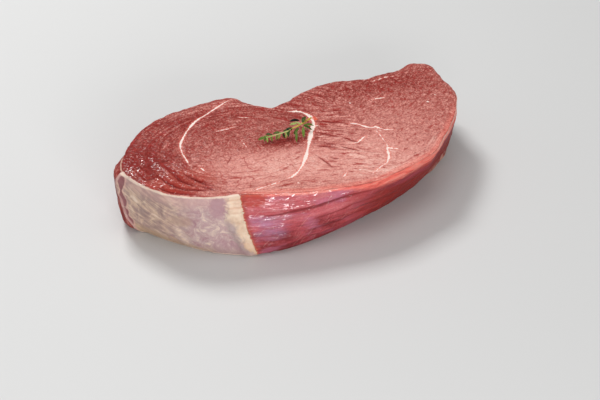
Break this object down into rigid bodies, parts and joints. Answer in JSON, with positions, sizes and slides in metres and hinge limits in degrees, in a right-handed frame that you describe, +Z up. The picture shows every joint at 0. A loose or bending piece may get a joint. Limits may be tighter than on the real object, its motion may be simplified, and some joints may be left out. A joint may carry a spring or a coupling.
{
  "type": "raw beef knuckle slice",
  "caption": "Thick kidney-shaped raw beef knuckle slice with silverskin, a fat strip and white fat seams, topped with a small sprig of thyme.",
  "frame": {"origin": "middle of the underside of the slice's bounding box, on the surface it rests on", "axes": "+X along the slice towards its pointed end, +Y away from the silverskin and fat-strip side, +Z up through the cut face"},
  "size_m": [0.2334, 0.1216, 0.0422],
  "materials": {
    "raw_beef": "moist raw beef: dusky red cut face with white fat seams, glossy red muscle wall, lilac-pink silverskin and a cream fat strip",
    "thyme_green": "fresh thyme leaves in mid and dark green on a yellow-green woody stem"
  },
  "bodies": {
    "root": {"knuckle_slice": "raw_beef", "thyme_sprig": "thyme_green"}
  },
  "joints": []
}
